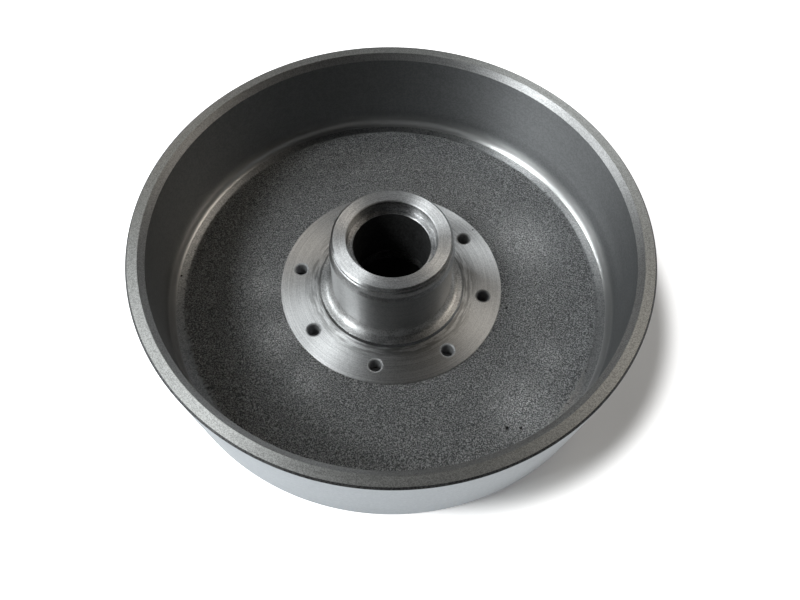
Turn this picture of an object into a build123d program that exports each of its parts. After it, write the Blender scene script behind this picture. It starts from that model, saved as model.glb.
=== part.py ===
from build123d import *
import os
from math import sqrt

# Brake drum with its hub cast in one piece. It lies on its closed back, with the open mouth upward.
# The origin is the centre of the back's mounting face, and +Z is the axis of rotation.
# All sizes are in millimetres. Walls and insets are measured across the radius.

# Drum shell: the outside follows the braking surface
overall_height = 65.0
braking_diameter = 250.0
rim_wall = 9.0
outer_taper = 4.7
mouth_chamfer = 3.0
rim_chamfer = 1.0
back_chamfer = 3.5

# Floor of the shell: a turned land at the foot of the wall, then the floor as it was cast
floor_thickness = 7.8
land_inset = 2.4
land_width = 4.6
foot_radius = 5.0
foot_step = 0.4

# Turned flange round the hub, with its bolt circle
flange_rise = 3.4
flange_edge_height = 0.8
flange_chamfer = 0.4
flange_margin = 10.3
hole_count = 8
hole_circle_diameter = 105.4
hole_diameter = 6.8
hole_chamfer = 0.6

# Back: the mounting face stands a little proud of the casting
mounting_face_margin = 25.3
back_relief = 1.5

# Hub: its top lies below the mouth
hub_recess = 8.7
hub_diameter = 67.0
hub_foot_radius = 5.0
hub_base_width = 8.0
hub_base_step = 1.2
hub_base_slope_width = 1.1

# Nose of the hub: a chamfered collar, a small groove, the neck and a taper that lead a seal onto the hub
neck_inset = 1.2
neck_length = 3.8
taper_length = 2.1
collar_inset = 0.2
collar_height = 2.4
collar_chamfer = 1.05
groove_depth = 0.55
groove_width = 1.3

# Bore: a cored middle between two seats, each with a ledge for the ring that is pressed in
core_diameter = 41.2
core_chamfer = 0.4
seal_ledge_width = 3.4
seal_seat_depth = 6.8
seal_seat_chamfer = 0.5
bearing_ledge_width = 2.9
bearing_seat_depth = 14.0
bearing_seat_chamfer = 1.0

# Radii about the axis
braking_radius = braking_diameter / 2
rim_radius = braking_radius + rim_wall
back_radius = rim_radius - outer_taper
land_radius = braking_radius - land_inset
hole_circle_radius = hole_circle_diameter / 2
flange_radius = hole_circle_radius + flange_margin
mounting_face_radius = hole_circle_radius + mounting_face_margin
hub_radius = hub_diameter / 2
hub_base_radius = hub_radius + hub_base_width
neck_radius = hub_radius - neck_inset
collar_radius = neck_radius - collar_inset
groove_radius = collar_radius - groove_depth
core_radius = core_diameter / 2
seal_seat_radius = core_radius + seal_ledge_width
bearing_seat_radius = core_radius + bearing_ledge_width

# Heights above the mounting face
flange_height = floor_thickness + flange_rise
hub_base_height = flange_height + hub_base_step
hub_height = overall_height - hub_recess
collar_foot_height = hub_height - collar_height
neck_height = collar_foot_height - groove_width
neck_foot_height = neck_height - neck_length
taper_foot_height = neck_foot_height - taper_length

# The nose of the boring tool leaves a round at the foot of the wall.
# The round ends short of the floor, at a small step down to the land.
foot_end_height = floor_thickness + foot_step
foot_centre_radius = braking_radius - foot_radius
foot_centre_height = foot_end_height + sqrt(foot_radius**2 - (land_radius - foot_centre_radius) ** 2)


def at_radius(radius):
    """Selects the circular edges of one radius about the drum's axis."""
    return lambda edge: edge.geom_type == GeomType.CIRCLE and abs(edge.radius - radius) < 1e-4


with BuildPart() as brake_drum:
    # Shell: tapered outer wall, straight braking surface, round foot, land and cast floor
    with BuildSketch(Plane.XZ):
        with BuildLine():
            Polyline(
                (0, 0),
                (mounting_face_radius, 0),
                (mounting_face_radius, back_relief),
                (back_radius, back_relief),
                (rim_radius, overall_height - rim_chamfer),
                (rim_radius - rim_chamfer, overall_height),
                (braking_radius + mouth_chamfer, overall_height),
                (braking_radius, overall_height - mouth_chamfer),
                (braking_radius, foot_centre_height),
            )
            RadiusArc((braking_radius, foot_centre_height), (land_radius, foot_end_height), foot_radius)
            Polyline(
                (land_radius, foot_end_height),
                (land_radius, floor_thickness),
                (land_radius - land_width, floor_thickness),
                (flange_radius, flange_height - flange_edge_height),
                (flange_radius, flange_height),
                (0, flange_height),
                (0, 0),
            )
        make_face()
    revolve(axis=Axis.Z)
    chamfer(brake_drum.edges().filter_by(at_radius(back_radius)), back_chamfer)
    chamfer(
        brake_drum.edges().filter_by(at_radius(flange_radius)).sort_by(Axis.Z)[-1],
        flange_chamfer,
    )

    # Hub: sloped base step, round foot, seal track, taper, neck, groove and collar
    with BuildSketch(Plane.XZ):
        with BuildLine():
            Polyline(
                (0, flange_height),
                (hub_base_radius, flange_height),
                (hub_base_radius - hub_base_slope_width, hub_base_height),
                (hub_radius, hub_base_height),
                (hub_radius, taper_foot_height),
                (neck_radius, neck_foot_height),
                (neck_radius, neck_height),
                (groove_radius, neck_height + neck_radius - groove_radius),
                (collar_radius, collar_foot_height),
                (collar_radius, hub_height - collar_chamfer),
                (collar_radius - collar_chamfer, hub_height),
                (0, hub_height),
                (0, flange_height),
            )
        make_face()
    revolve(axis=Axis.Z)
    fillet(
        brake_drum.edges().filter_by(at_radius(hub_radius)).sort_by(Axis.Z)[0],
        hub_foot_radius,
    )

    # Bore: seal seat at the nose, cored middle and bearing seat at the back
    with BuildSketch(Plane.XY.offset(hub_height)):
        Circle(seal_seat_radius)
    extrude(amount=-seal_seat_depth, mode=Mode.SUBTRACT)
    with BuildSketch(Plane.XY):
        Circle(bearing_seat_radius)
    extrude(amount=bearing_seat_depth, mode=Mode.SUBTRACT)
    with BuildSketch(Plane.XY):
        Circle(core_radius)
    extrude(amount=hub_height, mode=Mode.SUBTRACT)
    chamfer(
        brake_drum.edges().filter_by(at_radius(seal_seat_radius)).sort_by(Axis.Z)[-1],
        seal_seat_chamfer,
    )
    chamfer(
        brake_drum.edges().filter_by(at_radius(core_radius)).sort_by(Axis.Z)[-1],
        core_chamfer,
    )
    chamfer(
        brake_drum.edges().filter_by(at_radius(bearing_seat_radius)).sort_by(Axis.Z)[0],
        bearing_seat_chamfer,
    )

    # Bolt circle: drilled through the flange, with the edge broken on the flange's face
    with BuildSketch(Plane.XY):
        with PolarLocations(hole_circle_radius, hole_count):
            Circle(hole_diameter / 2)
    extrude(amount=flange_height, mode=Mode.SUBTRACT)
    chamfer(
        brake_drum.edges().filter_by(at_radius(hole_diameter / 2)).group_by(Axis.Z)[-1],
        hole_chamfer,
    )

brake_drum.part.label = "brake_drum"

os.makedirs("parts", exist_ok=True)
export_step(brake_drum.part, "parts/brake_drum.step")
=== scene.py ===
import bpy
import numpy as np
from mathutils import Matrix, Vector


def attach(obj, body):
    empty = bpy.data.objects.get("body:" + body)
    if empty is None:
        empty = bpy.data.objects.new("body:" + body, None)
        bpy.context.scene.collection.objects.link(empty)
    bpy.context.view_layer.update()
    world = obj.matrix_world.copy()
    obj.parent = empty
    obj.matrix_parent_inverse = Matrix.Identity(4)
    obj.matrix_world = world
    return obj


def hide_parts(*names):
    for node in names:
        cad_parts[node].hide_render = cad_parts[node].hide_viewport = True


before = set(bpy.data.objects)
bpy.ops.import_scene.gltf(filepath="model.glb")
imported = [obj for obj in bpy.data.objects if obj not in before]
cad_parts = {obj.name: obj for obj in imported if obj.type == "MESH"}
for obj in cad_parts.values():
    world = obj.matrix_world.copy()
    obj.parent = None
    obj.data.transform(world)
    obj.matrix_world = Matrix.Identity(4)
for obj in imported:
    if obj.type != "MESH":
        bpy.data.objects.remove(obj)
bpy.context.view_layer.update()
scene = bpy.context.scene
scene.view_settings.view_transform = "Standard"
print("frame loaded")

# The casting is one surface turned about the Z axis. Its section runs clockwise: up the bore,
# over the hub, out along the floor, up the wall, over the rim, down the outside and back along the bottom.
# Each row is a corner: radius, height, easing of the corner, then the finish of the run that starts there,
# how many strips the run has and how much of the cast relief it shows. Sizes are in millimetres.
drum = {
    "segments": 320,
    "easeSteps": 3,
    "corners": [
        (24.50, 0.00, 0.20, "bore", 1, 0),
        (23.50, 1.00, 0.20, "bore", 1, 0),
        (23.50, 14.00, 0.10, "bore", 1, 0),
        (20.60, 14.00, 0.30, "coredBore", 24, 1.6),
        (20.60, 49.10, 0.12, "bore", 1, 0),
        (21.00, 49.50, 0.12, "bore", 1, 0),
        (24.00, 49.50, 0.40, "bore", 1, 0),
        (24.00, 55.80, 0.15, "turned", 1, 0),
        (24.50, 56.30, 0.15, "turned", 1, 0),
        (31.05, 56.30, 0.15, "nose", 1, 0),
        (32.10, 55.25, 0.12, "edge", 1, 0),
        (32.10, 53.90, 0.06, "groove", 1, 0),
        (31.55, 53.35, 0.08, "nose", 1, 0),
        (32.30, 52.60, 0.12, "nose", 1, 0),
        (32.30, 48.80, 0.15, "nose", 1, 0),
        (33.50, 46.70, 0.25, "hubTrack", 1, 0),
        (33.50, 12.40, 5.00, "hubFoot", 1, 0),
        (40.40, 12.40, 0.15, "edge", 1, 0),
        (41.50, 11.20, 0.06, "flange", 1, 0),
        (46.00, 11.20, 0.00, "boltRing", 1, 0),
        (59.40, 11.20, 0.00, "flange", 1, 0),
        (62.60, 11.20, 0.15, "flange", 1, 0),
        (63.00, 10.80, 0.12, "turned", 1, 0),
        (63.00, 10.40, 0.25, "floor", 46, 1.0),
        (118.00, 7.80, 0.00, "land", 3, 0),
        (122.60, 7.80, 0.10, "wall", 1, 0),
        (122.60, 8.20, 0.08, "wall", 1, 0),
        (125.00, 9.66, 4.90, "wall", 1, 0),
        (125.00, 62.00, 0.15, "mouth", 1, 0),
        (128.00, 65.00, 0.15, "rim", 1, 0),
        (133.00, 65.00, 0.20, "lip", 1, 0),
        (133.98, 64.00, 0.30, "outside", 20, 0.6),
        (129.56, 5.00, 1.20, "outside", 2, 0.4),
        (125.80, 1.50, 1.20, "outside", 16, 0.6),
        (78.00, 1.50, 0.40, "turned", 1, 0),
        (78.00, 0.00, 0.30, "turned", 1, 0),
        (59.40, 0.00, 0.00, "boltRing", 1, 0),
        (46.00, 0.00, 0.00, "turned", 1, 0),
    ],
    "floorInner": (63.0, 10.4),  # radius and height where the cast floor meets the flange
    "floorLow": (111.0, 7.64),  # the casting dips here, just inside the turned land
    "floorRim": (118.0, 7.8),
    "reliefFade": 1.6,
}

boltHoles = {
    "count": 8,
    "circle": 52.7,
    "ringInner": 46.0,
    "ringOuter": 59.4,
    "sideSteps": 9,
    "spread": [1.0, 0.62, 0.24, 0.0],  # how the rings close in from the sector's edge to the hole
    "corners": [
        (4.40, 11.20, 0.00),
        (4.00, 11.20, 0.15),
        (3.40, 10.60, 0.15),
        (3.40, 0.00, 0.20),
        (3.90, 0.00, 0.00),
    ],
}

# The skin of the casting: slow waves in all directions, their lengths and heights in millimetres
castRelief = {"seed": 11, "waves": 56, "shortest": 4.2, "longest": 15.0, "height": 0.005}


# Rounds each corner of a section with an arc that touches both runs, and divides the runs evenly.
# The facing of a point lies to the left of the way the section runs.
def easedSection(corners, closed):
    place = np.array([row[:2] for row in corners], float)
    ease = np.array([row[2] for row in corners], float)
    onward = np.roll(place, -1, 0) - place
    onward /= np.linalg.norm(onward, axis=1)[:, None]
    if not closed:
        onward[-1] = onward[-2]
    arriving = np.roll(onward, 1, 0)
    if not closed:
        arriving[0] = onward[0]
    turn = np.arctan2(
        arriving[:, 0] * onward[:, 1] - arriving[:, 1] * onward[:, 0],
        (arriving * onward).sum(1),
    )
    reach = ease * np.tan(np.abs(turn) / 2)
    points, facings, runs, depth = [], [], [], []
    for i, corner in enumerate(corners):
        strips = corner[4] if len(corner) > 4 else 1
        relief = corner[5] if len(corner) > 5 else 0
        steps = max(drum["easeSteps"], int(np.ceil(ease[i] * abs(turn[i]) / 0.7)))
        part = np.linspace(0, 1, steps + 1) if ease[i] > 0 else np.array([0.5])
        bearing = np.arctan2(arriving[i, 1], arriving[i, 0]) + np.pi / 2 + turn[i] * part
        facing = np.stack([np.cos(bearing), np.sin(bearing)], 1)
        side = -np.sign(turn[i])
        centre = place[i] - arriving[i] * reach[i] - side * ease[i] * facing[0]
        arc = centre + side * ease[i] * facing if ease[i] > 0 else place[i][None]
        points.append(arc)
        facings.append(facing)
        last = not closed and i == len(corners) - 1
        inner = np.arange(1, 1 if last else strips)[:, None] / strips
        after = (i + 1) % len(corners)
        start = place[i] + onward[i] * reach[i]
        end = place[after] - onward[i] * reach[after]
        points.append(start + (end - start) * inner)
        facings.append(np.array([[-onward[i, 1], onward[i, 0]]]) + 0 * inner)
        runs += [i] * (len(arc) + len(inner))
        depth.append(np.concatenate([np.zeros(len(arc)), np.full(len(inner), float(relief))]))
    return np.concatenate(points), np.concatenate(facings), np.array(runs), np.concatenate(depth)


# Height of the cast floor over the radius: a soft S from the flange to its lowest ring,
# then a rise that grows with the square of the distance, up to the land.
def floorHeight(radius):
    (inner, innerHeight), (low, lowHeight), (rim, rimHeight) = (
        drum["floorInner"], drum["floorLow"], drum["floorRim"])
    swell = np.clip((low - radius) / (low - inner), 0, 1)
    rise = np.clip((radius - low) / (rim - low), 0, 1)
    return lowHeight + (innerHeight - lowHeight) * swell**2 * (3 - 2 * swell) + (rimHeight - lowHeight) * rise**2


# The sum of many plane waves, each a cosine of the distance along its own direction, and its slope.
def reliefAt(points):
    dice = np.random.default_rng(castRelief["seed"])
    heading = dice.normal(size=(castRelief["waves"], 3))
    heading /= np.linalg.norm(heading, axis=1)[:, None]
    spread = dice.random(castRelief["waves"])
    wavelength = castRelief["shortest"] * (castRelief["longest"] / castRelief["shortest"]) ** spread
    wave = heading * (2 * np.pi / wavelength)[:, None]
    height = castRelief["height"] * (wavelength / castRelief["shortest"]) ** 0.6
    phase = points @ wave.T + dice.random(castRelief["waves"]) * 2 * np.pi
    return np.cos(phase) @ height, (-np.sin(phase) * height) @ wave


# A section turned about Z: every point of the section times every angle.
def turnedSurface(section, facing, angle):
    across = np.stack([np.cos(angle), np.sin(angle)], 1)
    count = (len(section), len(angle), 1)
    points = np.concatenate([section[:, None, :1] * across, np.broadcast_to(section[:, None, 1:], count)], 2)
    facings = np.concatenate([facing[:, None, :1] * across, np.broadcast_to(facing[:, None, 1:], count)], 2)
    return points, facings


# Corners of the quads between neighbouring rows and columns of a grid whose columns close on themselves.
def gridQuads(rows, columns, closeRows):
    row = np.arange(rows if closeRows else rows - 1)[:, None]
    column = np.arange(columns)[None]
    here, above = row * columns, (row + 1) % rows * columns
    beside = (column + 1) % columns
    quads = np.stack([here + column, above + column, above + beside, here + beside], 2)
    return quads


section, sectionFacing, sectionRun, sectionRelief = easedSection(drum["corners"], True)
finishes = np.array([row[3] for row in drum["corners"]])
castRun = finishes == "floor"
onFloor = castRun[sectionRun] & (sectionRelief > 0)
floorRadius = section[onFloor, 0]
section[onFloor, 1] = floorHeight(floorRadius)
floorSlope = (floorHeight(floorRadius + 0.01) - floorHeight(floorRadius - 0.01)) / 0.02
sectionFacing[onFloor] = np.stack([-floorSlope, np.ones_like(floorSlope)], 1) / np.hypot(1, floorSlope)[:, None]

angle = 2 * np.pi * np.arange(drum["segments"]) / drum["segments"]
shell, shellFacing = turnedSurface(section, sectionFacing, angle)

# The relief pushes the cast runs along their facing, and fades out before a machined corner.
along = np.concatenate([[0], np.cumsum(np.linalg.norm(np.diff(section, axis=0), axis=1))])
still = along[sectionRelief == 0]
fade = np.clip(np.abs(along[:, None] - still).min(1) / drum["reliefFade"], 0, 1)
rough = sectionRelief > 0
amount = (sectionRelief * fade)[rough, None]
push, slope = reliefAt(shell[rough].reshape(-1, 3))
push = push.reshape(-1, drum["segments"]) * amount
slope = slope.reshape(-1, drum["segments"], 3) * amount[..., None]
facing = shellFacing[rough]
tilted = facing - slope + facing * (slope * facing).sum(2, keepdims=True)
shell[rough] += facing * push[..., None]
shellFacing[rough] = tilted / np.linalg.norm(tilted, axis=2, keepdims=True)

# The land was turned flat, so nothing of the casting beside it stands above it.
radii = np.hypot(shell[..., 0], shell[..., 1])
cut = castRun[sectionRun][:, None] & (radii > drum["floorLow"][0]) & (shell[..., 2] > drum["floorRim"][1])
shell[cut, 2] = drum["floorRim"][1]
shellFacing[cut] = (0, 0, 1)

quads = gridQuads(len(section), drum["segments"], True)
kept = finishes[sectionRun] != "boltRing"
shellQuads = quads[kept].reshape(-1, 4)
shellFinish = np.repeat(sectionRun[kept], drum["segments"])
print("shell turned:", len(shellQuads), "faces")

# The bolt ring: eight sectors, each a grid of rings that close in from the sector's edge to its hole,
# run down the hole and open out again on the back. A ring is the edge drawn towards the hole's circle.
sector = drum["segments"] // boltHoles["count"]
ringInner, ringOuter = boltHoles["ringInner"], boltHoles["ringOuter"]
sidePart = np.arange(boltHoles["sideSteps"]) / boltHoles["sideSteps"]
edgeStep = np.concatenate([
    np.full(len(sidePart), -sector // 2), np.arange(-sector // 2, sector // 2),
    np.full(len(sidePart), sector // 2), np.arange(sector // 2, -sector // 2, -1)])
edgeRadius = np.concatenate([
    ringInner + (ringOuter - ringInner) * sidePart, np.full(sector, ringOuter),
    ringOuter + (ringInner - ringOuter) * sidePart, np.full(sector, ringInner)])
holeStep = np.arange(boltHoles["count"])[:, None] * sector
edgeAngle = 2 * np.pi * (holeStep + edgeStep) / drum["segments"]
edge = edgeRadius[..., None] * np.stack([np.cos(edgeAngle), np.sin(edgeAngle)], 2)
holeAngle = 2 * np.pi * holeStep[:, 0] / drum["segments"]
holeCentre = boltHoles["circle"] * np.stack([np.cos(holeAngle), np.sin(holeAngle)], 1)[:, None]
outward = edge - holeCentre
outward /= np.linalg.norm(outward, axis=2, keepdims=True)

holeSection, holeFacing, holeRun, holeRelief = easedSection(boltHoles["corners"], False)
spread = np.array(boltHoles["spread"][:-1])
rowRadius = np.concatenate([np.full(len(spread), holeSection[0, 0]), holeSection[:, 0],
                            np.full(len(spread), holeSection[-1, 0])])
rowHeight = np.concatenate([np.full(len(spread), holeSection[0, 1]), holeSection[:, 1],
                            np.full(len(spread), holeSection[-1, 1])])
rowSpread = np.concatenate([spread, np.zeros(len(holeSection)), spread[::-1]])
rowFacing = np.concatenate([np.repeat([[0.0, 1.0]], len(spread), 0), -holeFacing,
                            np.repeat([[0.0, -1.0]], len(spread), 0)])
circle = holeCentre[:, None] + rowRadius[None, :, None, None] * outward[:, None]
flat = circle + (edge[:, None] - circle) * rowSpread[None, :, None, None]
tall = np.broadcast_to(rowHeight[None, :, None, None], flat.shape[:3] + (1,))
holes = np.concatenate([flat, tall], 3)
holesFacing = np.concatenate([
    rowFacing[None, :, None, :1] * outward[:, None],
    np.broadcast_to(rowFacing[None, :, None, 1:], flat.shape[:3] + (1,))], 3)
holeGrid = gridQuads(len(rowRadius), len(edgeStep), False)[..., ::-1].reshape(-1, 4)
holeOffset = np.arange(boltHoles["count"])[:, None, None] * len(rowRadius) * len(edgeStep)
holeQuads = (holeGrid[None] + holeOffset).reshape(-1, 4)
insideHole = (rowSpread[:-1] == 0) & (rowSpread[1:] == 0) & (rowRadius[1:] < 4.2)
holeRowFinish = np.where(insideHole, "hole", np.where(rowHeight[1:] > 5.0, "flange", "turned"))
holeFinish = np.tile(np.repeat(holeRowFinish, len(edgeStep)), boltHoles["count"])
print("bolt holes made:", len(holeQuads), "faces")

# Joins the shell and the holes, where their edges share the same points.
allPoints = np.concatenate([shell.reshape(-1, 3), holes.reshape(-1, 3)])
allFacings = np.concatenate([shellFacing.reshape(-1, 3), holesFacing.reshape(-1, 3)])
allQuads = np.concatenate([shellQuads, holeQuads + shell.reshape(-1, 3).shape[0]])
finishNames = ["flange", "turned", "nose", "groove", "hubTrack", "hubFoot", "bore", "coredBore", "floor", "land", "wall",
               "mouth", "rim", "lip", "edge", "outside", "hole"]
finishOfFace = np.concatenate([finishes[shellFinish], holeFinish])
allFinishes = np.select([finishOfFace == name for name in finishNames], range(len(finishNames)))
used = np.unique(allQuads)
kept, inverse = np.unique(np.round(allPoints[used], 4), axis=0, return_index=True, return_inverse=True)[1:]
renumber = np.zeros(len(allPoints), int)
renumber[used] = inverse.ravel()
points = allPoints[used][kept] / 1000
facings = allFacings[used][kept]
faces = renumber[allQuads]

mesh = bpy.data.meshes.new("drumCasting")
mesh.from_pydata(points.tolist(), [], faces.tolist())
mesh.polygons.foreach_set("use_smooth", np.ones(len(faces), bool))
mesh.polygons.foreach_set("material_index", allFinishes.astype(np.int32))
mesh.normals_split_custom_set_from_vertices(facings.tolist())
drumCasting = bpy.data.objects.new("drumCasting", mesh)
scene.collection.objects.link(drumCasting)
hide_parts("brake_drum")
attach(drumCasting, "root")
print("casting made:", len(points), "points,", len(faces), "faces")


def addNode(tree, kind, inputs=None, **settings):
    node = tree.nodes.new(kind)
    for name, value in settings.items():
        setattr(node, name, value)
    for name, value in (inputs or {}).items():
        if isinstance(value, bpy.types.NodeSocket):
            tree.links.new(value, node.inputs[name])
        else:
            node.inputs[name].default_value = value
    return node


def mathNode(tree, operation, first, second=0.0, clamp=False):
    return addNode(tree, "ShaderNodeMath", {0: first, 1: second}, operation=operation, use_clamp=clamp).outputs[0]


def rangeNode(tree, value, low, high, toLow=0.0, toHigh=1.0):
    limits = {"Value": value, "From Min": low, "From Max": high, "To Min": toLow, "To Max": toHigh}
    return addNode(tree, "ShaderNodeMapRange", limits, interpolation_type="SMOOTHSTEP").outputs["Result"]


def mixColours(tree, factor, first, second, blend="MIX"):
    node = addNode(tree, "ShaderNodeMix", data_type="RGBA", blend_type=blend, clamp_result=blend != "MIX")
    for socket, value in ((node.inputs[0], factor), (node.inputs[6], first), (node.inputs[7], second)):
        if isinstance(value, bpy.types.NodeSocket):
            tree.links.new(value, socket)
        else:
            socket.default_value = value
    return node.outputs[2]


def newGroup(name, inputs, outputs):
    group = bpy.data.node_groups.new(name, "ShaderNodeTree")
    for label, value in inputs:
        socket = group.interface.new_socket(label, in_out="INPUT", socket_type="NodeSocketFloat")
        socket.default_value = value
    for label in outputs:
        group.interface.new_socket(label, in_out="OUTPUT", socket_type="NodeSocketFloat")
    return group, addNode(group, "NodeGroupInput"), addNode(group, "NodeGroupOutput")


def useGroup(tree, group, **inputs):
    node = addNode(tree, "ShaderNodeGroup", node_tree=group)
    for name, value in inputs.items():
        socket = node.inputs[name]
        if isinstance(value, bpy.types.NodeSocket):
            tree.links.new(value, socket)
        else:
            socket.default_value = value
    return node


# Object coordinates in millimetres
def millimetres(tree):
    coordinates = addNode(tree, "ShaderNodeTexCoord").outputs["Object"]
    return addNode(tree, "ShaderNodeVectorMath", {0: coordinates, "Scale": 1000.0}, operation="SCALE").outputs[0]


# Distance from the drum's axis in millimetres, with the flat vector that it comes from
def axisDistance(tree, place):
    flatPlace = addNode(tree, "ShaderNodeVectorMath", {0: place, 1: (1.0, 1.0, 0.0)}, operation="MULTIPLY").outputs[0]
    return addNode(tree, "ShaderNodeVectorMath", {0: flatPlace}, operation="LENGTH").outputs["Value"], flatPlace


# Marks that a turning tool leaves: fine rings across the surface, and longer arcs that come and go round it.
turningMarks, groupIn, groupOut = newGroup(
    "turningMarks", [("Spacing", 0.5), ("ArcLength", 30.0), ("Offset", 0.0)], ["Height", "Arcs", "Rings"])
place = millimetres(turningMarks)
radius, flatPlace = axisDistance(turningMarks, place)
height = addNode(turningMarks, "ShaderNodeSeparateXYZ", {0: place}).outputs["Z"]
across = mathNode(turningMarks, "ADD", radius, mathNode(turningMarks, "MULTIPLY", height, 0.73))
across = mathNode(turningMarks, "ADD", across, groupIn.outputs["Offset"])
across = mathNode(turningMarks, "DIVIDE", across, groupIn.outputs["Spacing"])
rings = addNode(turningMarks, "ShaderNodeTexNoise", {"W": across, "Scale": 1.0, "Detail": 3.0, "Roughness": 0.7},
                noise_dimensions="1D").outputs["Fac"]
direction = addNode(turningMarks, "ShaderNodeVectorMath", {0: flatPlace}, operation="NORMALIZE").outputs[0]
turns = mathNode(turningMarks, "DIVIDE", 100.0, groupIn.outputs["ArcLength"])
direction = addNode(turningMarks, "ShaderNodeVectorMath", {0: direction, "Scale": turns}, operation="SCALE").outputs[0]
lift = addNode(turningMarks, "ShaderNodeCombineXYZ", {"Z": mathNode(turningMarks, "MULTIPLY", across, 0.6)}).outputs[0]
arcPlace = addNode(turningMarks, "ShaderNodeVectorMath", {0: direction, 1: lift}, operation="ADD").outputs[0]
arcs = addNode(turningMarks, "ShaderNodeTexNoise",
               {"Vector": arcPlace, "Scale": 1.0, "Detail": 2.0, "Roughness": 0.6}).outputs["Fac"]
both = mathNode(turningMarks, "MULTIPLY", mathNode(turningMarks, "ADD", rings, arcs), 0.5)
turningMarks.links.new(both, groupOut.inputs["Height"])
turningMarks.links.new(arcs, groupOut.inputs["Arcs"])
turningMarks.links.new(rings, groupOut.inputs["Rings"])

# Skin of a sand casting: rounded grains on top of slower waves, both sizes in millimetres
castGrain, groupIn, groupOut = newGroup("castGrain", [("Grain", 1.0), ("Swell", 4.0)], ["Height", "Tone"])
place = millimetres(castGrain)
size = mathNode(castGrain, "DIVIDE", 1.0, groupIn.outputs["Grain"])
grains = addNode(castGrain, "ShaderNodeTexNoise",
                 {"Vector": place, "Scale": size, "Detail": 3.0, "Roughness": 0.65}).outputs["Fac"]
size = mathNode(castGrain, "DIVIDE", 1.0, groupIn.outputs["Swell"])
swells = addNode(castGrain, "ShaderNodeTexNoise",
                 {"Vector": place, "Scale": size, "Detail": 2.0, "Roughness": 0.5}).outputs["Fac"]
total = mathNode(castGrain, "ADD", mathNode(castGrain, "MULTIPLY", grains, 0.85),
                 mathNode(castGrain, "MULTIPLY", swells, 0.15))
castGrain.links.new(total, groupOut.inputs["Height"])
# Tone: lighter on the tops of the grains, darker between them; painted glints on the tops and painted shade in the
# pits
castGrain.links.new(rangeNode(castGrain, grains, 0.40, 0.70), groupOut.inputs["Tone"])

# Border of a turned face on a casting: the tool cuts the tops of the skin first and misses its pits.
# The mask is 1 where the tool has cut. The pits are drawn out along the radius.
toolCut, groupIn, groupOut = newGroup("toolCut", [("Start", 112.0), ("End", 121.0), ("Grain", 1.5)], ["Cut"])
radius, flatPlace = axisDistance(toolCut, millimetres(toolCut))
direction = addNode(toolCut, "ShaderNodeVectorMath", {0: flatPlace}, operation="NORMALIZE").outputs[0]
size = mathNode(toolCut, "DIVIDE", 118.0, groupIn.outputs["Grain"])
direction = addNode(toolCut, "ShaderNodeVectorMath", {0: direction, "Scale": size}, operation="SCALE").outputs[0]
inward = mathNode(toolCut, "DIVIDE", mathNode(toolCut, "MULTIPLY", radius, 0.45), groupIn.outputs["Grain"])
inward = addNode(toolCut, "ShaderNodeCombineXYZ", {"Z": inward}).outputs[0]
pitPlace = addNode(toolCut, "ShaderNodeVectorMath", {0: direction, 1: inward}, operation="ADD").outputs[0]
pits = addNode(toolCut, "ShaderNodeTexNoise",
               {"Vector": pitPlace, "Scale": 1.0, "Detail": 2.0, "Roughness": 0.6}).outputs["Fac"]
reach = addNode(toolCut, "ShaderNodeMapRange", {
    "Value": radius, "From Min": groupIn.outputs["Start"], "From Max": groupIn.outputs["End"],
    "To Min": 0.25, "To Max": 0.75}).outputs["Result"]
toolCut.links.new(rangeNode(toolCut, mathNode(toolCut, "SUBTRACT", reach, pits), -0.04, 0.04), groupOut.inputs["Cut"])

# Tiny facets of the iron, each with a tone of its own
ironSpeckle, groupIn, groupOut = newGroup("ironSpeckle", [("Size", 0.6)], ["Tone"])
size = mathNode(ironSpeckle, "DIVIDE", 1.0, groupIn.outputs["Size"])
cells = addNode(ironSpeckle, "ShaderNodeTexVoronoi", {"Vector": millimetres(ironSpeckle), "Scale": size})
tone = addNode(ironSpeckle, "ShaderNodeSeparateColor", {0: cells.outputs["Color"]}).outputs[0]
ironSpeckle.links.new(tone, groupOut.inputs["Tone"])


def newMaterial(name, **sockets):
    material = bpy.data.materials.new(name)
    material.use_nodes = True
    tree = material.node_tree
    shader = tree.nodes["Principled BSDF"]
    for label, value in sockets.items():
        shader.inputs[label].default_value = value
    return material, tree, shader


# Sets the surface's tone, gloss and fine height from maps between 0 and 1.
def finishSurface(tree, shader, colour, glossMap, rough, heightMap, depth):
    tree.links.new(colour, shader.inputs["Base Color"])
    tree.links.new(rangeNode(tree, glossMap, 0.2, 0.8, rough[0], rough[1]), shader.inputs["Roughness"])
    bump = addNode(tree, "ShaderNodeBump", {"Height": heightMap, "Strength": 1.0, "Distance": depth / 1000})
    tree.links.new(bump.outputs["Normal"], shader.inputs["Normal"])


def radialTangent(tree, shader):
    tangent = addNode(tree, "ShaderNodeTangent", direction_type="RADIAL", axis="Z")
    tree.links.new(tangent.outputs["Tangent"], shader.inputs["Tangent"])


# Pores that the casting has in plain sight, each drawn as a near-black spot of painted shade inside the pit: x, y, z
# and radius in millimetres
pores = {
    "flange": [(42.0, 44.8, 11.2, 0.7), (-40.4, 36.5, 11.2, 0.8)],
    "hubFoot": [(39.9, -6.0, 12.4, 0.8)],
    "land": [(-120.8, -13.9, 7.8, 1.0)],
    "floor": [(66.5, -5.0, 10.2, 1.1), (73.6, -74.8, 8.0, 1.5), (80.7, -73.6, 8.0, 1.2)],
}


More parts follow.
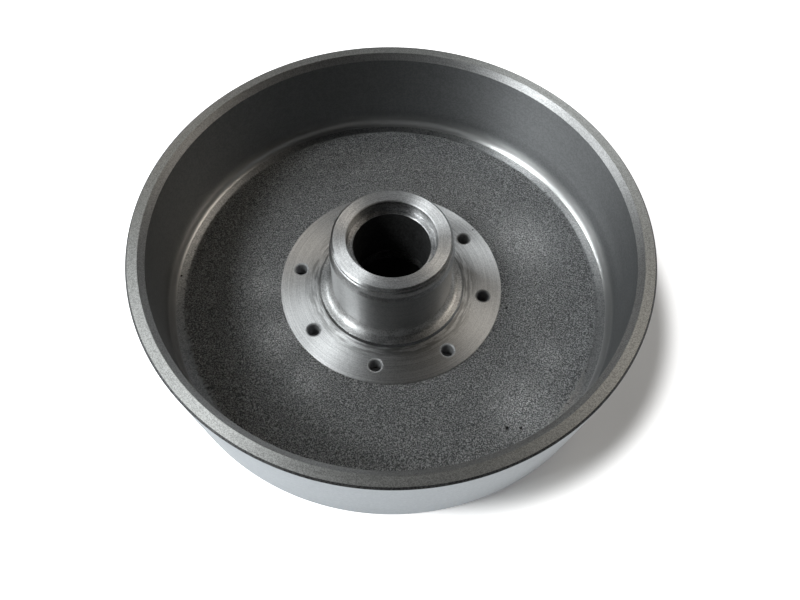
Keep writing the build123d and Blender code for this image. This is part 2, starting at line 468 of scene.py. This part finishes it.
# Mask that is 1 inside the pores and 0 outside: the distance to the nearest centre, with a ragged edge
def poreMask(tree, name):
    place = millimetres(tree)
    ragged = addNode(tree, "ShaderNodeTexNoise", {"Vector": place, "Scale": 1.3, "Detail": 1.0}).outputs["Color"]
    ragged = addNode(tree, "ShaderNodeVectorMath", {0: ragged, 1: (-0.5, -0.5, -0.5)}, operation="ADD").outputs[0]
    place = addNode(tree, "ShaderNodeVectorMath", {0: place, 1: ragged}, operation="ADD").outputs[0]
    mask = 0.0
    for x, y, z, radius in pores[name]:
        away = addNode(tree, "ShaderNodeVectorMath", {0: place, 1: (x, y, z)}, operation="DISTANCE").outputs["Value"]
        mask = mathNode(tree, "MAXIMUM", mask, rangeNode(tree, away, radius * 0.35, radius, 1.0, 0.0))
    return mask


# A face that was turned on the lathe
def turnedMaterial(name, look):
    material, tree, shader = newMaterial(name + "Iron", **{
        "Metallic": look.get("metal", 1.0), "Anisotropic": look["drawn"], "Anisotropic Rotation": 0.25})
    radialTangent(tree, shader)
    marks = useGroup(tree, turningMarks, Spacing=look["spacing"], ArcLength=look["arcLength"], Offset=look["offset"])
    speckle = useGroup(tree, ironSpeckle, Size=look["speckleSize"])
    drawnTone = mathNode(tree, "ADD", mathNode(tree, "MULTIPLY", marks.outputs["Arcs"], 0.5 - look["speckle"] * 0.5),
                         mathNode(tree, "MULTIPLY", marks.outputs["Rings"], 0.5 - look["speckle"] * 0.5))
    tone = mathNode(tree, "ADD", drawnTone, mathNode(tree, "MULTIPLY", speckle.outputs["Tone"], look["speckle"]))
    colour = mixColours(tree, rangeNode(tree, tone, 0.3, 0.7), look["dark"] + (1.0,), look["light"] + (1.0,))
    height = marks.outputs["Height"]
    if "chatter" in look:  # coarse arcs where the tool chattered, out to a radius
        inner, outer, strength, stain = look["chatter"]
        zone = rangeNode(tree, axisDistance(tree, millimetres(tree))[0], inner, outer, strength, 0.0)
        arcs = useGroup(tree, turningMarks, Spacing=0.9, ArcLength=26.0, Offset=17.0).outputs["Arcs"]
        rubbed = mathNode(tree, "MULTIPLY", zone, rangeNode(tree, arcs, 0.38, 0.62))
        colour = mixColours(tree, rubbed, colour, stain + (1.0,))
    if "cut" in look:  # pits of the casting that the tool left
        start, end = look["cut"]
        cut = useGroup(tree, toolCut, Start=start, End=end, Grain=1.1).outputs["Cut"]
        colour = mixColours(tree, cut, (0.13, 0.13, 0.13, 1.0), colour)
    if name in pores:
        pore = poreMask(tree, name)
        # The pores are painted near-black: painted shade inside the pits
        colour = mixColours(tree, pore, colour, (0.01, 0.01, 0.01, 1.0))
    finishSurface(tree, shader, colour, marks.outputs["Arcs"], look["rough"], height, look["depth"])
    if "foot" in look:  # painted highlight: the colour turns much lighter towards the foot of the wall, standing in for the glow of light there; the roughness also drops towards the foot
        low, high, share, tone = look["foot"]
        tall = addNode(tree, "ShaderNodeSeparateXYZ", {0: millimetres(tree)}).outputs["Z"]
        colour = mixColours(tree, rangeNode(tree, tall, low, high, 1.0, 0.0), colour, tone + (1.0,))
        tree.links.new(colour, shader.inputs["Base Color"])
        rough = shader.inputs["Roughness"].links[0].from_socket
        smoother = mathNode(tree, "MULTIPLY", rough, rangeNode(tree, tall, low, high * 1.5, share, 1.0))
        tree.links.new(smoother, shader.inputs["Roughness"])
    return material


turnedLooks = {
    "flange": dict(dark=(0.50, 0.50, 0.505), light=(0.80, 0.80, 0.80), rough=(0.50, 0.58), drawn=0.90,
                   spacing=0.5, arcLength=60.0, offset=0.0, speckle=0.18, speckleSize=0.4, depth=0.012,
                   chatter=(43.0, 52.0, 0.75, (0.22, 0.218, 0.215))),
    "turned": dict(dark=(0.52, 0.52, 0.525), light=(0.84, 0.84, 0.84), rough=(0.49, 0.57), drawn=0.90,
                   spacing=0.6, arcLength=40.0, offset=5.0, speckle=0.25, speckleSize=0.4, depth=0.012),
    "nose": dict(dark=(0.42, 0.42, 0.425), light=(0.66, 0.66, 0.66), rough=(0.28, 0.34), drawn=0.8,
                 spacing=0.8, arcLength=25.0, offset=8.0, speckle=0.3, speckleSize=0.5, depth=0.004),
    # The groove is painted near-black: painted shade in the groove
    "groove": dict(dark=(0.015, 0.015, 0.015), light=(0.03, 0.03, 0.03), rough=(0.40, 0.50), drawn=0.3,
                   spacing=0.8, arcLength=25.0, offset=3.0, speckle=0.3, speckleSize=0.5, depth=0.002),
    "hubTrack": dict(dark=(0.40, 0.405, 0.41), light=(0.50, 0.50, 0.50), rough=(0.40, 0.44), drawn=0.94,
                     spacing=1.4, arcLength=60.0, offset=4.0, speckle=0.3, speckleSize=0.7, depth=0.0003),
    "hubFoot": dict(dark=(0.34, 0.34, 0.34), light=(0.62, 0.62, 0.62), rough=(0.36, 0.44), drawn=0.8,
                    spacing=0.9, arcLength=18.0, offset=14.0, speckle=0.35, speckleSize=0.5, depth=0.015),
    "bore": dict(dark=(0.20, 0.20, 0.205), light=(0.60, 0.60, 0.60), rough=(0.30, 0.40), drawn=0.8,
                 spacing=0.6, arcLength=20.0, offset=9.0, speckle=0.2, speckleSize=0.6, depth=0.02),
    "land": dict(dark=(0.34, 0.345, 0.35), light=(0.56, 0.56, 0.56), rough=(0.36, 0.44), drawn=0.9,
                 spacing=0.9, arcLength=12.0, offset=11.0, speckle=0.5, speckleSize=0.5, depth=0.015,
                 cut=(114.6, 119.6)),
    "wall": dict(dark=(0.225, 0.23, 0.235), light=(0.27, 0.275, 0.28), rough=(0.50, 0.54), drawn=0.85,
                 spacing=1.6, arcLength=80.0, offset=2.0, speckle=0.5, speckleSize=0.8, depth=0.001,
                 # The wall's light colour near its foot is a painted highlight
                 foot=(8.0, 19.0, 0.62, (0.62, 0.62, 0.615))),
    "mouth": dict(dark=(0.30, 0.30, 0.30), light=(0.50, 0.50, 0.50), rough=(0.44, 0.52), drawn=0.8,
                  spacing=0.5, arcLength=30.0, offset=12.0, speckle=0.4, speckleSize=0.35, depth=0.012),
    "rim": dict(dark=(0.33, 0.33, 0.32), light=(0.57, 0.57, 0.56), rough=(0.54, 0.62), drawn=0.80,
                spacing=0.5, arcLength=40.0, offset=6.0, speckle=0.4, speckleSize=0.35, depth=0.012),
    # The lip is painted near-black: painted shade along the outer chamfer
    "lip": dict(dark=(0.06, 0.06, 0.062), light=(0.14, 0.14, 0.14), rough=(0.38, 0.46), drawn=0.4,
                spacing=0.9, arcLength=18.0, offset=19.0, speckle=0.4, speckleSize=0.6, depth=0.006),
    "edge": dict(dark=(0.34, 0.34, 0.345), light=(0.46, 0.46, 0.46), rough=(0.20, 0.26), drawn=0.5,
                 spacing=0.9, arcLength=18.0, offset=1.0, speckle=0.3, speckleSize=0.6, depth=0.004),
    "hole": dict(dark=(0.32, 0.325, 0.335), light=(0.48, 0.48, 0.48), rough=(0.45, 0.55), drawn=0.2, metal=0.45,
                 spacing=0.5, arcLength=20.0, offset=3.0, speckle=0.2, speckleSize=0.5, depth=0.02),
}


# Iron as it was cast: rough, part metal and part scale
def castMaterial(name, look):
    material, tree, shader = newMaterial(name + "Iron", Metallic=look["metal"])
    grain = useGroup(tree, castGrain, Grain=look["grain"], Swell=look["swell"])
    speckle = useGroup(tree, ironSpeckle, Size=look["speckleSize"])
    tone = mathNode(tree, "ADD", mathNode(tree, "MULTIPLY", grain.outputs["Tone"], 1 - look["speckle"]),
                    mathNode(tree, "MULTIPLY", speckle.outputs["Tone"], look["speckle"]))
    colour = mixColours(tree, tone, look["dark"] + (1.0,), look["light"] + (1.0,))
    height = grain.outputs["Height"]
    for x, y, radius, strength in look.get("paintedLightPatches", []):  # lighter patches of painted light where light falls on the floor near the flange; only the colour changes
        flatPlace = axisDistance(tree, millimetres(tree))[1]
        away = addNode(tree, "ShaderNodeVectorMath", {0: flatPlace, 1: (x, y, 0.0)}, operation="DISTANCE").outputs["Value"]
        away = mathNode(tree, "ADD", away, mathNode(tree, "MULTIPLY", grain.outputs["Tone"], radius * 0.6))
        patch = rangeNode(tree, away, radius * 0.3, radius * 1.8, strength, 0.0)
        colour = mixColours(tree, patch, colour, look["paintedLightTone"] + (1.0,), "MULTIPLY")
    if "cut" in look:
        start, end = look["cut"]
        cut = useGroup(tree, toolCut, Start=start, End=end, Grain=1.1).outputs["Cut"]
        colour = mixColours(tree, cut, colour, look["cutTone"] + (1.0,))
        metal = mathNode(tree, "ADD", mathNode(tree, "MULTIPLY", cut, 1 - look["metal"]), look["metal"])
        tree.links.new(metal, shader.inputs["Metallic"])
        height = mathNode(tree, "MAXIMUM", height, mathNode(tree, "MULTIPLY", cut, 0.62))
    if name in pores:
        pore = poreMask(tree, name)
        # The pores are painted near-black: painted shade inside the pits
        colour = mixColours(tree, pore, colour, (0.01, 0.01, 0.01, 1.0))
        height = mathNode(tree, "MULTIPLY", height, mathNode(tree, "SUBTRACT", 1.0, pore))
    finishSurface(tree, shader, colour, speckle.outputs["Tone"], look["rough"], height, look["depth"])
    return material


castLooks = {
    "coredBore": dict(dark=(0.04, 0.04, 0.04), light=(0.10, 0.10, 0.10), rough=(0.45, 0.6), metal=0.6,
                      grain=1.6, swell=5.0, speckle=0.4, speckleSize=0.8, depth=0.5),
    "outside": dict(dark=(0.465, 0.495, 0.525), light=(0.545, 0.575, 0.605), rough=(0.36, 0.44), metal=0.85,
                    grain=1.4, swell=9.0, speckle=0.2, speckleSize=0.8, depth=0.012),
    # The floor's light tone, far lighter than the skin, paints glints on the grain tops
    "floor": dict(dark=(0.07, 0.071, 0.073), light=(0.78, 0.782, 0.785), rough=(0.30, 0.42), metal=0.6,
                  grain=0.68, swell=5.0, speckle=0.15, speckleSize=0.4, depth=2.2,
                  cut=(114.6, 119.6), cutTone=(0.42, 0.425, 0.43), paintedLightTone=(2.0, 2.0, 2.0),
                  # Patches of painted light on the floor near the flange: x, y and radius in millimetres, and strength
                  paintedLightPatches=[(74.0, 44.0, 20.0, 0.65), (80.0, -62.0, 17.0, 0.65), (92.0, -30.0, 11.0, 0.3),
                            (-56.0, -44.0, 13.0, 0.55), (-70.0, -14.0, 11.0, 0.4), (-34.0, -66.0, 12.0, 0.45)]),
}

materials = {name: turnedMaterial(name, look) for name, look in turnedLooks.items()}
materials.update({name: castMaterial(name, look) for name, look in castLooks.items()})
for name in finishNames:
    mesh.materials.append(materials[name])
print("materials made")


# Floor and backdrop in one: white to the camera and to reflections. Its glow is held back in a soft circle round the
# drum's shadow, so the shadow's reach and edge are painted shadow, while the lamps cast the shading inside it.
stage = {"size": 3.0, "colour": (0.86, 0.86, 0.86, 1.0), "paintedShadeUnder": (0.02, 0.02, 0.02, 1.0), "coveredTo": (40.0, 100.0),
         "shadowTone": 0.14, "shadowCentre": (37.5, 2.8, 0.0), "shadowEdge": (115.7, 132.2), "white": 0.8,
         "shine": 0.33, "shineFrom": (126.0, 134.0)}
half = stage["size"]
floorMesh = bpy.data.meshes.new("studioFloor")
floorMesh.from_pydata([(-half, -half, 0), (half, -half, 0), (half, half, 0), (-half, half, 0)], [], [(0, 1, 2, 3)])
studioFloor = bpy.data.objects.new("studioFloor", floorMesh)
scene.collection.objects.link(studioFloor)
paper = bpy.data.materials.new("whitePaper")
paper.use_nodes = True
tree = paper.node_tree
shader = tree.nodes["Principled BSDF"]
shader.inputs["Roughness"].default_value = 0.9
shader.inputs["Specular IOR Level"].default_value = 0.0
rays = addNode(tree, "ShaderNodeLightPath")
distance, flatPlace = axisDistance(tree, millimetres(tree))
# Under the drum the floor's colour is painted near-black: a painted shadow, seen through the bore
covered = rangeNode(tree, distance, *stage["coveredTo"])
tree.links.new(mixColours(tree, covered, stage["paintedShadeUnder"], stage["colour"]), shader.inputs["Base Color"])
# The white glow starts only outside a circle round the shadow's centre: the shadow's edge and reach are painted shadow
fromShadow = addNode(tree, "ShaderNodeVectorMath", {0: flatPlace, 1: stage["shadowCentre"]},
                     operation="DISTANCE").outputs["Value"]
lift = mathNode(tree, "ADD", rangeNode(tree, distance, *stage["coveredTo"], 0.0, stage["shadowTone"]),
                rangeNode(tree, fromShadow, *stage["shadowEdge"], 0.0, stage["white"]))
shine = rangeNode(tree, distance, *stage["shineFrom"], 0.0, stage["shine"])
mirrored = mathNode(tree, "MAXIMUM", rays.outputs["Is Glossy Ray"], rays.outputs["Is Transmission Ray"])
glow = mathNode(tree, "ADD", mathNode(tree, "MULTIPLY", rays.outputs["Is Camera Ray"], lift),
                mathNode(tree, "MULTIPLY", mirrored, shine))
tree.links.new(glow, shader.inputs["Emission Strength"])
shader.inputs["Emission Color"].default_value = (1, 1, 1, 1)
floorMesh.materials.append(paper)

world = bpy.data.worlds.new("studio")
scene.world = world
world.use_nodes = True
tree = world.node_tree
room = tree.nodes["Background"]
rays = addNode(tree, "ShaderNodeLightPath")
skyLight = addNode(tree, "ShaderNodeBackground", {"Color": (0.93, 0.96, 1.0, 1.0), "Strength": 0.01})
room.inputs["Color"].default_value = (1, 1, 1, 1)
room.inputs["Strength"].default_value = 1.0
blend = addNode(tree, "ShaderNodeMixShader", {0: rays.outputs["Is Camera Ray"], 1: skyLight.outputs[0], 2: room.outputs[0]})
tree.links.new(blend.outputs[0], tree.nodes["World Output"].inputs["Surface"])

# Soft boxes at a bearing and a height above the floor, both in degrees. The key is wide and high on the left.
softBoxes = {
    "keySoftBox": dict(bearing=210.0, height=49.0, size=(0.55, 0.50), power=19.0, colour=(0.95, 0.99, 1.0)),
    "sideSoftBox": dict(bearing=165.0, height=49.0, size=(0.60, 0.50), power=10.8, colour=(0.95, 0.99, 1.0)),
    "lowSoftBox": dict(bearing=200.0, height=22.0, size=(1.90, 0.60), power=10.4, colour=(0.94, 0.98, 1.0)),
    "warmSoftBox": dict(bearing=42.0, height=57.0, size=(0.70, 0.50), power=4.8, colour=(1.0, 0.92, 0.80)),
    "backSoftBox": dict(bearing=108.0, height=47.0, size=(0.90, 0.50), power=2.2, colour=(0.94, 0.98, 1.0)),
    "frontSoftBox": dict(bearing=270.0, height=38.0, size=(1.00, 0.80), power=0.35, colour=(0.97, 0.99, 1.0)),
}
for name, box in softBoxes.items():
    lamp = bpy.data.lights.new(name, "AREA")
    lamp.shape = "RECTANGLE"
    lamp.size, lamp.size_y = box["size"]
    lamp.energy = box["power"]
    lamp.color = box["colour"]
    lampObject = bpy.data.objects.new(name, lamp)
    bearing, rise = np.radians([box["bearing"], box["height"]])
    heading = Vector((np.cos(bearing) * np.cos(rise), np.sin(bearing) * np.cos(rise), np.sin(rise)))
    lampObject.location = heading * 2.0
    lampObject.rotation_euler = heading.to_track_quat("Z", "Y").to_euler()
    scene.collection.objects.link(lampObject)
print("stage and lights set")

# The camera stands where the photograph was taken, found from the drum's circles.
view = {"place": (0.03294, -0.21650, 0.37320), "heading": 8.058, "pitch": 59.59, "roll": 1.442, "lens": 33.215,
        "shift": (0.00618, -0.00946)}
heading, pitch, roll = np.radians([view["heading"], view["pitch"], view["roll"]])
forward = Vector((-np.sin(heading) * np.cos(pitch), np.cos(heading) * np.cos(pitch), -np.sin(pitch)))
level = Vector((np.cos(heading), np.sin(heading), 0.0))
above = level.cross(forward)
right = level * np.cos(roll) + above * np.sin(roll)
up = above * np.cos(roll) - level * np.sin(roll)
cameraData = bpy.data.cameras.new("camera")
cameraData.lens = view["lens"]
cameraData.sensor_width = 36.0
cameraData.shift_x, cameraData.shift_y = view["shift"]
cameraData.clip_start = 0.01
camera = bpy.data.objects.new("camera", cameraData)
camera.matrix_world = Matrix.Translation(view["place"]) @ Matrix((right, up, -forward)).transposed().to_4x4()
scene.collection.objects.link(camera)
scene.camera = camera
print("camera placed")
